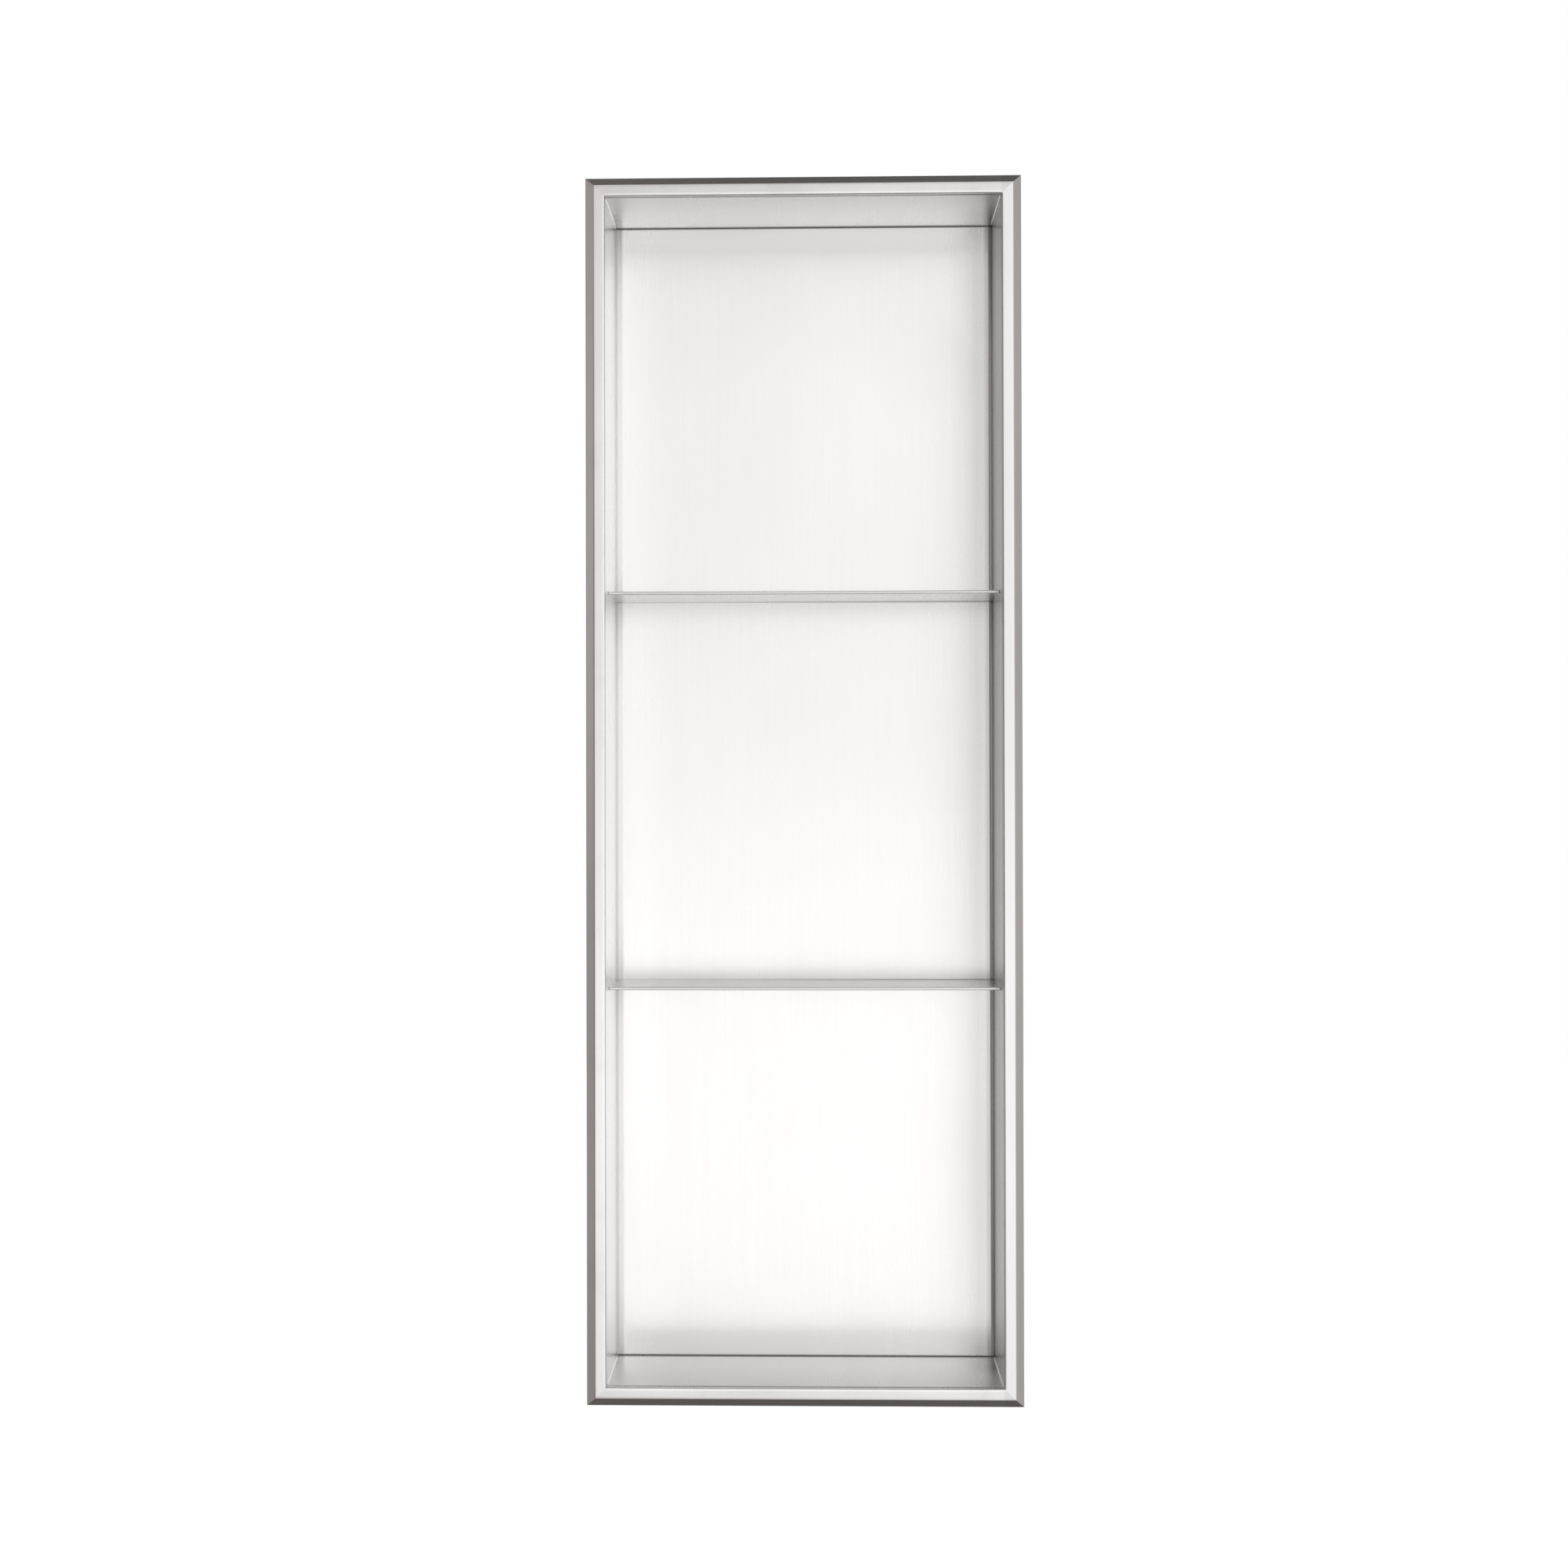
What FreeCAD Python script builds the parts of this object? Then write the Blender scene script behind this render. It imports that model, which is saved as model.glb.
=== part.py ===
"""Recessed stainless wall niche with two fixed shelves, as separate pieces.

Millimetres. +Z is up and the open front faces -Y. The origin is the centre of the
opening, in the plane of the finished wall: the frame stands in front of that plane
and the box goes back through it.

Most sections are drawn as (outward, forward) pairs. "Outward" is the distance from
the edge of the opening towards the outside of the frame, and "forward" is the
distance in front of the finished wall.
"""
import FreeCAD, Part
import math
import os
from FreeCAD import Vector

# ---------------------------------------------------------------- driving dimensions

# Opening and overall depth
OPENING_WIDTH = 304.8
OPENING_HEIGHT = 914.4
OVERALL_DEPTH = 101.6           # frame face to the outside of the back

# Face frame, folded from sheet
FRAME_SHEET = 1.0
FRAME_WIDTH = 15.4              # edge of the opening to the outside of the bevel
FRAME_PROUD = 6.8               # frame face in front of the finished wall
BEVEL_WIDTH = 6.8               # 45 degree bevel, down to the wall
FRAME_EDGE_RADIUS = 1.2         # outside radius at the edge of the opening
BEVEL_BEND_RADIUS = 2.0         # outside radius between face and bevel
LEG_LENGTH = 3.2                # return leg at the edge of the opening

# Box, folded from sheet
BOX_SHEET = 1.2
FLANGE_GAP = 2.4                # back of the box flange to the finished wall
FLANGE_WIDTH = 10.0             # edge of the opening to the end of the flange
FRONT_BEND_INSIDE = 1.6
REAR_BEND_INSIDE = 5.0
WRAP_OVERHANG = 2.0             # body sheet past the outer faces of the end plates
END_PLATE_GAP = 0.8             # rear edge of an end plate to the back panel

# Shelves
SHELF_THICKNESS = 2.4
SHELF_SETBACK = 28.0            # frame face to the front edge of a shelf
SHELF_FACE_HEIGHT = 153.0       # face towards the centre, above and below the origin
SHELF_GAP = 0.3                 # rear edge to the back panel
SHELF_NOSE_RADIUS = 1.1
SHELF_FRONT_CORNER = 1.5
REAR_TAB_WIDTH = 25.0
REAR_TAB_PITCH = 100.0
SIDE_TAB_WIDTH = 20.0
TAB_DEPTH = 0.8                 # how far a tab goes into the sheet of the box
SLOT_CLEARANCE = 0.1

# Gasket
GASKET_INSET = 3.4              # edge of the opening to the gasket

# Welds
SEAM_LEG = 0.9
PLATE_WELD_LEG = 1.9
PLUG_CROWN = 0.5
PLUG_MARGIN = 1.6
PLUG_EDGE_RADIUS = 0.4
MITRE_BEAD_RADIUS = 0.8
MITRE_BEAD_INSET = 1.8
TACK_LENGTH = 8.0
TACK_HEIGHT = 1.4
TACK_PITCH_LEVEL = 100.0        # top and bottom rails
TACK_PITCH_UPRIGHT = 190.0      # left and right rails

# --------------------------------------------------------------- derived dimensions

HALF_WIDTH = OPENING_WIDTH / 2
HALF_HEIGHT = OPENING_HEIGHT / 2
FRONT_BEND_OUTSIDE = FRONT_BEND_INSIDE + BOX_SHEET
REAR_BEND_OUTSIDE = REAR_BEND_INSIDE + BOX_SHEET
FLANGE_FRONT = FLANGE_GAP + BOX_SHEET
BEND_END = FRONT_BEND_OUTSIDE - FLANGE_FRONT    # y where the front bend meets the wall
BACK_OUTSIDE = OVERALL_DEPTH - FRAME_PROUD
BACK_INSIDE = BACK_OUTSIDE - BOX_SHEET
WRAP_HALF_HEIGHT = HALF_HEIGHT + BOX_SHEET + WRAP_OVERHANG
SHELF_FRONT = SHELF_SETBACK - FRAME_PROUD
SHELF_REAR = BACK_INSIDE - SHELF_GAP
REAR_TAB_PLACES = (-REAR_TAB_PITCH, 0.0, REAR_TAB_PITCH)
SIDE_TAB_PLACE = (SHELF_FRONT + SHELF_REAR) / 2

# Each side of the opening: name, turn about Y from the top, half length, half distance
SIDES = (
    ("top", 0, HALF_WIDTH, HALF_HEIGHT),
    ("right", 90, HALF_HEIGHT, HALF_WIDTH),
    ("bottom", 180, HALF_WIDTH, HALF_HEIGHT),
    ("left", 270, HALF_HEIGHT, HALF_WIDTH),
)
UPRIGHT_SIDES = ("left", "right")

# ------------------------------------------------------------------- geometry helpers


def rounded_wire(corners):
    """Closed wire through (point, radius) corners, each rounded by a tangent arc."""
    ends = []
    for index, (point, radius) in enumerate(corners):
        if radius == 0:
            ends.append((point, None, point))
            continue
        to_last = (corners[index - 1][0] - point).normalize()
        to_next = (corners[(index + 1) % len(corners)][0] - point).normalize()
        half_angle = to_last.getAngle(to_next) / 2
        tangent = radius / math.tan(half_angle)
        middle = (to_last + to_next).normalize()
        to_arc = radius / math.sin(half_angle) - radius
        ends.append((point + to_last * tangent, point + middle * to_arc,
                     point + to_next * tangent))
    edges = []
    for index, (start, middle, end) in enumerate(ends):
        if middle is not None:
            edges.append(Part.Arc(start, middle, end).toShape())
        edges.append(Part.makeLine(end, ends[(index + 1) % len(ends)][0]))
    return Part.Wire(edges)


def prism(corners, direction):
    """Solid swept straight from a closed outline of (point, radius) corners."""
    return Part.Face(rounded_wire(corners)).extrude(direction)


def block(low, high):
    """Box between two opposite corners."""
    size = Vector(*high) - Vector(*low)
    return Part.makeBox(size.x, size.y, size.z, Vector(*low))


def turned(shape, degrees):
    """The shape turned about the Y axis, which runs through the opening's centre."""
    copy = shape.copy()
    copy.rotate(Vector(0, 0, 0), Vector(0, 1, 0), degrees)
    return copy


def rail_section(outline, half_length, half_distance):
    """Extrusion along X, at the top, of an (outward, forward, radius) outline."""
    reach = half_length + FRAME_WIDTH
    corners = [(Vector(-reach, -forward, half_distance + outward), radius)
               for outward, forward, radius in outline]
    return prism(corners, Vector(2 * reach, 0, 0))


def mitre_wedge(half_length, half_distance, rear):
    """Everything at the top between the two 45 degree mitre planes, in front of rear."""
    width = FRAME_WIDTH
    front = -2 * FRAME_PROUD
    outline = (
        (-half_length, half_distance),
        (half_length, half_distance),
        (half_length + width, half_distance + width),
        (-half_length - width, half_distance + width),
    )
    corners = [(Vector(x, front, z), 0) for x, z in outline]
    return prism(corners, Vector(0, rear - front, 0))


# ------------------------------------------------------------------------- face frame


def frame_rail(half_length, half_distance):
    """Folded trim: return leg, flat face, soft bend and 45 degree bevel."""
    slant = FRAME_SHEET * math.sqrt(2)
    flat_end = FRAME_WIDTH - BEVEL_WIDTH
    inner_forward = FRAME_PROUD - FRAME_SHEET
    inner_flat_end = FRAME_WIDTH - slant - inner_forward
    leg_end = FRAME_PROUD - LEG_LENGTH
    outline = (
        (0, leg_end, 0),
        (0, FRAME_PROUD, FRAME_EDGE_RADIUS),
        (flat_end, FRAME_PROUD, BEVEL_BEND_RADIUS),
        (FRAME_WIDTH, 0, 0),
        (FRAME_WIDTH - slant, 0, 0),
        (inner_flat_end, inner_forward, BEVEL_BEND_RADIUS - FRAME_SHEET),
        (FRAME_SHEET, inner_forward, FRAME_EDGE_RADIUS - FRAME_SHEET),
        (FRAME_SHEET, leg_end, 0),
    )
    whole = rail_section(outline, half_length, half_distance)
    return whole.common(mitre_wedge(half_length, half_distance, rear=0))


def frame_mitre_welds():
    """One bead along the back of the face at each of the four mitres."""
    inner_forward = FRAME_PROUD - FRAME_SHEET
    first = MITRE_BEAD_INSET
    last = FRAME_WIDTH - BEVEL_WIDTH - MITRE_BEAD_INSET
    beads = []
    for side_x in (-1, 1):
        for side_z in (-1, 1):
            start = Vector(side_x * (HALF_WIDTH + first), -inner_forward,
                           side_z * (HALF_HEIGHT + first))
            along = Vector(side_x * (last - first), 0, side_z * (last - first))
            rod = Part.makeCylinder(MITRE_BEAD_RADIUS, along.Length, start, along)
            behind = block((-HALF_WIDTH * 2, -inner_forward, -HALF_HEIGHT * 2),
                           (HALF_WIDTH * 2, 0, HALF_HEIGHT * 2))
            beads.append(rod.common(behind))
    return Part.makeCompound(beads)


def frame_tack_welds():
    """Short fillets between the frame's return leg and the flange of the box."""
    tacks = []
    for name, turn, _half_length, half_distance in SIDES:
        if name in UPRIGHT_SIDES:
            places = [TACK_PITCH_UPRIGHT * step for step in (-2, -1, 0, 1, 2)]
        else:
            places = [TACK_PITCH_LEVEL * step for step in (-1, 0, 1)]
        foot = FRONT_BEND_OUTSIDE + TACK_HEIGHT
        for place in places:
            outline = (
                (FRAME_SHEET, FLANGE_FRONT),
                (FRAME_SHEET, FLANGE_FRONT + TACK_HEIGHT),
                (foot, FLANGE_FRONT),
            )
            corners = [(Vector(place - TACK_LENGTH / 2, -forward, half_distance + outward), 0)
                       for outward, forward in outline]
            tacks.append(turned(prism(corners, Vector(TACK_LENGTH, 0, 0)), turn))
    return Part.makeCompound(tacks)


# -------------------------------------------------------------------------------- box


def wrap_blank():
    """Left wall, back and right wall with their front flanges, as one tall extrusion."""
    front = -FLANGE_FRONT
    flange_back = -FLANGE_GAP
    flange_end = HALF_WIDTH + FLANGE_WIDTH
    outside = HALF_WIDTH + BOX_SHEET
    half = (
        (flange_end, front, 0),
        (HALF_WIDTH, front, FRONT_BEND_OUTSIDE),
        (HALF_WIDTH, BACK_INSIDE, REAR_BEND_INSIDE),
    )
    half_outside = (
        (flange_end, flange_back, 0),
        (outside, flange_back, FRONT_BEND_INSIDE),
        (outside, BACK_OUTSIDE, REAR_BEND_OUTSIDE),
    )
    loop = [(-x, y, radius) for x, y, radius in half]
    loop += reversed(half)
    loop += half_outside
    loop += [(-x, y, radius) for x, y, radius in reversed(half_outside)]
    bottom = -HALF_HEIGHT - FLANGE_WIDTH
    corners = [(Vector(x, y, bottom), radius) for x, y, radius in loop]
    return prism(corners, Vector(0, 0, -2 * bottom))


def shelf_levels():
    """Bottom faces of the upper and the lower shelf."""
    return {
        "upper_shelf": SHELF_FACE_HEIGHT,
        "lower_shelf": -SHELF_FACE_HEIGHT - SHELF_THICKNESS,
    }


def shelf_slots(level):
    """Slots through the body sheet for the tabs of one shelf."""
    low = level - SLOT_CLEARANCE
    high = level + SHELF_THICKNESS + SLOT_CLEARANCE
    slots = []
    for place in REAR_TAB_PLACES:
        reach = REAR_TAB_WIDTH / 2 + SLOT_CLEARANCE
        slots.append(block((place - reach, BACK_INSIDE - SHELF_GAP, low),
                           (place + reach, BACK_OUTSIDE + SHELF_GAP, high)))
    reach = SIDE_TAB_WIDTH / 2 + SLOT_CLEARANCE
    outer = HALF_WIDTH + BOX_SHEET
    for inside, outside in ((-outer - SHELF_GAP, -HALF_WIDTH), (HALF_WIDTH, outer + SHELF_GAP)):
        slots.append(block((inside, SIDE_TAB_PLACE - reach, low),
                           (outside, SIDE_TAB_PLACE + reach, high)))
    return slots


def body_wrap():
    """The folded body sheet, trimmed at both ends, with mitred flanges and tab slots."""
    outer = HALF_WIDTH + FLANGE_WIDTH
    keep = [block((-outer, BEND_END, -WRAP_HALF_HEIGHT),
                  (outer, BACK_OUTSIDE + 1, WRAP_HALF_HEIGHT))]
    for name, turn, half_length, half_distance in SIDES:
        if name in UPRIGHT_SIDES:
            keep.append(turned(mitre_wedge(half_length, half_distance, BEND_END), turn))
    trimmed = wrap_blank().common(keep[0].fuse(keep[1:]))
    slots = [slot for level in shelf_levels().values() for slot in shelf_slots(level)]
    return trimmed.cut(slots).removeSplitter()


def inside_plan(front, gap, front_radius, low, high):
    """Block that fits between the walls, rounded like the rear bends of the body."""
    rear = BACK_INSIDE - gap
    corners = [
        (Vector(-HALF_WIDTH, front, low), front_radius),
        (Vector(HALF_WIDTH, front, low), front_radius),
        (Vector(HALF_WIDTH, rear, low), REAR_BEND_INSIDE),
        (Vector(-HALF_WIDTH, rear, low), REAR_BEND_INSIDE),
    ]
    return prism(corners, Vector(0, 0, high - low))


def top_plate():
    """Closes the top of the box, with a front flange mitred to those of the body."""
    rear = END_PLATE_GAP - BACK_INSIDE
    outline = (
        (FLANGE_WIDTH, FLANGE_FRONT, 0),
        (0, FLANGE_FRONT, FRONT_BEND_OUTSIDE),
        (0, rear, 0),
        (BOX_SHEET, rear, 0),
        (BOX_SHEET, FLANGE_GAP, FRONT_BEND_INSIDE),
        (FLANGE_WIDTH, FLANGE_GAP, 0),
    )
    whole = rail_section(outline, HALF_WIDTH, HALF_HEIGHT)
    between_walls = inside_plan(BEND_END, END_PLATE_GAP, 0,
                                HALF_HEIGHT, HALF_HEIGHT + BOX_SHEET)
    flange_zone = mitre_wedge(HALF_WIDTH, HALF_HEIGHT, BEND_END)
    return whole.common(between_walls.fuse(flange_zone)).removeSplitter()


def corner_seam(side_x, side_z):
    """Thin polished fillet along one inside corner, from front to back."""
    x = side_x * HALF_WIDTH
    z = side_z * HALF_HEIGHT
    corners = [
        (Vector(x, BEND_END, z), 0),
        (Vector(x - side_x * SEAM_LEG, BEND_END, z), 0),
        (Vector(x, BEND_END, z - side_z * SEAM_LEG), 0),
    ]
    return prism(corners, Vector(0, BACK_INSIDE - END_PLATE_GAP - REAR_BEND_INSIDE - BEND_END, 0))


def top_plate_weld():
    """Outside fillet between the top plate and the body sheet, along three sides."""
    low = HALF_HEIGHT + BOX_SHEET
    high = low + PLATE_WELD_LEG

    def outline(inset, level):
        width = HALF_WIDTH - inset
        rear = BACK_INSIDE - inset
        radius = REAR_BEND_INSIDE - inset
        return rounded_wire([
            (Vector(-width, BEND_END, level), 0),
            (Vector(width, BEND_END, level), 0),
            (Vector(width, rear, level), radius),
            (Vector(-width, rear, level), radius),
        ])

    filled = Part.Face(outline(0, low)).extrude(Vector(0, 0, PLATE_WELD_LEG))
    hollow = Part.makeLoft([outline(PLATE_WELD_LEG, low), outline(0, high)], True, True)
    return filled.cut(hollow)


# ---------------------------------------------------------------------------- shelves


def shelf(level):
    """Flat plate with a rounded front edge, and tabs into the back and both walls."""
    top = level + SHELF_THICKNESS
    section = [
        (Vector(-HALF_WIDTH, SHELF_FRONT, level), SHELF_NOSE_RADIUS),
        (Vector(-HALF_WIDTH, SHELF_REAR, level), 0),
        (Vector(-HALF_WIDTH, SHELF_REAR, top), 0),
        (Vector(-HALF_WIDTH, SHELF_FRONT, top), SHELF_NOSE_RADIUS),
    ]
    plate = prism(section, Vector(2 * HALF_WIDTH, 0, 0))
    plate = plate.common(inside_plan(SHELF_FRONT, SHELF_GAP, SHELF_FRONT_CORNER, level, top))
    tabs = []
    for place in REAR_TAB_PLACES:
        half = REAR_TAB_WIDTH / 2
        tabs.append(block((place - half, SHELF_REAR - 1, level),
                          (place + half, BACK_INSIDE + TAB_DEPTH, top)))
    reach = HALF_WIDTH + TAB_DEPTH
    half = SIDE_TAB_WIDTH / 2
    tabs.append(block((-reach, SIDE_TAB_PLACE - half, level),
                      (reach, SIDE_TAB_PLACE + half, top)))
    return plate.fuse(tabs).removeSplitter()


def plug_weld(width):
    """Weld in the mouth of one slot: centred on the origin, facing +Y, crown outside."""
    half = width / 2 + SLOT_CLEARANCE
    half_height = SHELF_THICKNESS / 2 + SLOT_CLEARANCE
    plug = block((-half, TAB_DEPTH - BOX_SHEET, -half_height), (half, 0, half_height))
    crown = block((-half - PLUG_MARGIN, 0, -half_height - PLUG_MARGIN),
                  (half + PLUG_MARGIN, PLUG_CROWN, half_height + PLUG_MARGIN))
    outer_edges = [edge for edge in crown.Edges if edge.BoundBox.YMin > PLUG_CROWN / 2]
    crown = crown.makeFillet(PLUG_EDGE_RADIUS, outer_edges)
    return plug.fuse(crown)


def shelf_tab_welds(level):
    """The five plug welds of one shelf: three in the back and one in each wall."""
    middle = level + SHELF_THICKNESS / 2
    welds = []
    for place in REAR_TAB_PLACES:
        weld = plug_weld(REAR_TAB_WIDTH)
        weld.translate(Vector(place, BACK_OUTSIDE, middle))
        welds.append(weld)
    for side in (-1, 1):
        weld = plug_weld(SIDE_TAB_WIDTH)
        weld.rotate(Vector(0, 0, 0), Vector(0, 0, 1), -90 * side)
        weld.translate(Vector(side * (HALF_WIDTH + BOX_SHEET), SIDE_TAB_PLACE, middle))
        welds.append(weld)
    return Part.makeCompound(welds)


# ---------------------------------------------------------------------------- gaskets


def gasket(half_length, half_distance, ends_outside):
    """Foam strip behind one flange; level strips run past the ends of upright ones."""
    reach = half_length + (FLANGE_WIDTH if ends_outside else GASKET_INSET)
    return block((-reach, -FLANGE_GAP, half_distance + GASKET_INSET),
                 (reach, 0, half_distance + FLANGE_WIDTH))


# --------------------------------------------------------------------------- assembly


def build():
    """Every piece by its node name."""
    pieces = {}
    for name, turn, half_length, half_distance in SIDES:
        rail = frame_rail(half_length, half_distance)
        pieces["frame_" + name + "_rail"] = turned(rail, turn)
        strip = gasket(half_length, half_distance, name not in UPRIGHT_SIDES)
        pieces["gasket_" + name] = turned(strip, turn)
    pieces["frame_mitre_welds"] = frame_mitre_welds()
    pieces["frame_tack_welds"] = frame_tack_welds()
    pieces["body_wrap"] = body_wrap()
    pieces["top_plate"] = top_plate()
    pieces["bottom_plate"] = turned(top_plate(), 180)
    pieces["top_plate_weld"] = top_plate_weld()
    pieces["bottom_plate_weld"] = turned(top_plate_weld(), 180)
    for end, side_z in (("top", 1), ("bottom", -1)):
        for side, side_x in (("left", -1), ("right", 1)):
            pieces["corner_seam_" + end + "_" + side] = corner_seam(side_x, side_z)
    for name, level in shelf_levels().items():
        pieces[name] = shelf(level)
        pieces[name + "_tab_welds"] = shelf_tab_welds(level)
    return pieces


os.makedirs("parts", exist_ok=True)
for node, shape in build().items():
    shape.exportStep("parts/" + node + ".step")
    box = shape.BoundBox
    print(node, "solids", len(shape.Solids), "valid", shape.isValid(),
          "volume", round(shape.Volume, 1),
          "size", round(box.XLength, 2), round(box.YLength, 2), round(box.ZLength, 2))
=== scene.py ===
import math

import bmesh
import bpy
from bpy.props import FloatProperty, FloatVectorProperty, IntProperty, PointerProperty
from mathutils import Euler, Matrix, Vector, noise


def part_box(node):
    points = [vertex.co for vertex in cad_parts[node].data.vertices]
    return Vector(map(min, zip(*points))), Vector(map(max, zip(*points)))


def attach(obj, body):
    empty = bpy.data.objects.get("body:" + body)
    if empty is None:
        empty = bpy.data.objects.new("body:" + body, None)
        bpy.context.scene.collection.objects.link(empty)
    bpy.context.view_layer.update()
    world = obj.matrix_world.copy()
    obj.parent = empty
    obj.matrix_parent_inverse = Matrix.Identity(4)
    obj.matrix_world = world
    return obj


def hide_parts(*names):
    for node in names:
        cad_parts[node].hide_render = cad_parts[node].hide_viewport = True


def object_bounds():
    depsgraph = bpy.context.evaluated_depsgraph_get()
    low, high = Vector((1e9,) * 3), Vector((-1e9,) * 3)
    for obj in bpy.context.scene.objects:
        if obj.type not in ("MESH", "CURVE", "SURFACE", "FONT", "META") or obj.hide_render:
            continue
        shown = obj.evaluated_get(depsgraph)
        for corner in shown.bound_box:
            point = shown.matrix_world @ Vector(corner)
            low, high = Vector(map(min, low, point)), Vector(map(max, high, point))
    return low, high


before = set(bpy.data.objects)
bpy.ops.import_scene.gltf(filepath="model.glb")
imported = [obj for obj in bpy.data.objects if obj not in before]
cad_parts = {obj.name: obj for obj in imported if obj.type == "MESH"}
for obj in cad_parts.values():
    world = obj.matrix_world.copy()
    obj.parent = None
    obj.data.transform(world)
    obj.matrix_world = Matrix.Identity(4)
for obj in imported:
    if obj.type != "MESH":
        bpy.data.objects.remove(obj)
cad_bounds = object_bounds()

bl_info = {
    "name": "Recessed Wall Niche",
    "version": (1, 0, 0),
    "blender": (4, 5, 0),
    "location": "View3D > Sidebar > Niche",
    "description": "Builds the sheets, welds and gaskets of a brushed steel wall niche",
    "category": "Object",
}

# ---------- sizes of the frame

MM = 0.001

LEFT, RIGHT = -1, 1
BOTTOM, TOP = -1, 1

HALF_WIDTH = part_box("corner_seam_top_right")[1].x    # wall face to the middle
HALF_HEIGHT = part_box("top_plate")[0].z    # end plate face to the middle
RAIL_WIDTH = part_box("frame_right_rail")[1].x - HALF_WIDTH
RAIL_PROUD = -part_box("frame_right_rail")[0].y
FLANGE_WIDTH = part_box("body_wrap")[1].x - HALF_WIDTH
FLANGE_FRONT = -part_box("body_wrap")[0].y
BACK_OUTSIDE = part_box("body_wrap")[1].y
END_PLATE_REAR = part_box("top_plate")[1].y
SHELF_LOW, SHELF_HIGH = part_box("upper_shelf")
SHELF_LEVEL = SHELF_LOW.z    # face towards the middle
SHELF_THICK = SHELF_HIGH.z - SHELF_LOW.z
SHELF_FRONT = SHELF_LOW.y


# ---------- properties

LENGTH = {"unit": "LENGTH", "precision": 5}
COLOUR = {"subtype": "COLOR", "size": 3, "min": 0, "max": 1}


class NicheSizes(bpy.types.PropertyGroup):
    """Sheet, bend and weld sizes that the frame's boxes do not give."""

    rail_sheet: FloatProperty(
        name="Frame Sheet", description="Thickness of the folded face frame",
        default=1.0 * MM, min=0.3 * MM, **LENGTH)
    rail_edge_radius: FloatProperty(
        name="Frame Edge Radius", description="Bend at the edge of the opening",
        default=1.2 * MM, min=1.0 * MM, **LENGTH)
    bevel_width: FloatProperty(
        name="Bevel Width", description="Width of the 45 degree bevel, seen from the front",
        default=6.8 * MM, **LENGTH)
    bevel_radius: FloatProperty(
        name="Bevel Bend Radius", description="Soft bend between face and bevel",
        default=2.0 * MM, **LENGTH)
    face_crown: FloatProperty(
        name="Face Crown", description="Fall of the frame's face from its inner edge",
        default=0.12 * MM, min=0, **LENGTH)
    face_wave: FloatProperty(
        name="Face Wave", description="Unevenness along the frame's face and bevel",
        default=0.25 * MM, min=0, **LENGTH)
    leg_length: FloatProperty(
        name="Return Leg", description="Depth of the leg folded in at the opening",
        default=3.2 * MM, **LENGTH)
    box_sheet: FloatProperty(
        name="Box Sheet", description="Thickness of the body sheet and the end plates",
        default=1.2 * MM, min=0.3 * MM, **LENGTH)
    front_bend: FloatProperty(
        name="Front Bend", description="Outside radius from a wall to its front flange",
        default=2.8 * MM, **LENGTH)
    rear_bend: FloatProperty(
        name="Rear Bend", description="Inside radius from a wall to the back",
        default=3.5 * MM, **LENGTH)
    end_overhang: FloatProperty(
        name="Body Overhang", description="Body sheet past the faces of the end plates",
        default=3.2 * MM, **LENGTH)
    nose_radius: FloatProperty(
        name="Shelf Nose Radius", description="Rounding of a shelf's front edge",
        default=0.5 * MM, **LENGTH)
    shelf_corner: FloatProperty(
        name="Shelf Front Corner", description="Rounding of a shelf's front corners",
        default=0.7 * MM, **LENGTH)
    bow: FloatProperty(
        name="Sheet Bow", description="How far the wide sheets stray from flat",
        default=0.25 * MM, **LENGTH)
    seam_radius: FloatProperty(
        name="Corner Seam Radius", description="Half width of a polished corner seam",
        default=0.75 * MM, **LENGTH)
    bead_radius: FloatProperty(
        name="Weld Bead Radius", description="Half width of an outside fillet weld",
        default=1.3 * MM, **LENGTH)
    ripple_pitch: FloatProperty(
        name="Ripple Pitch", description="Distance between the ripples of a weld",
        default=1.1 * MM, min=0.3 * MM, **LENGTH)
    seed: IntProperty(
        name="Seed", description="Starts every uneven detail", default=7, min=0)


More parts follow.
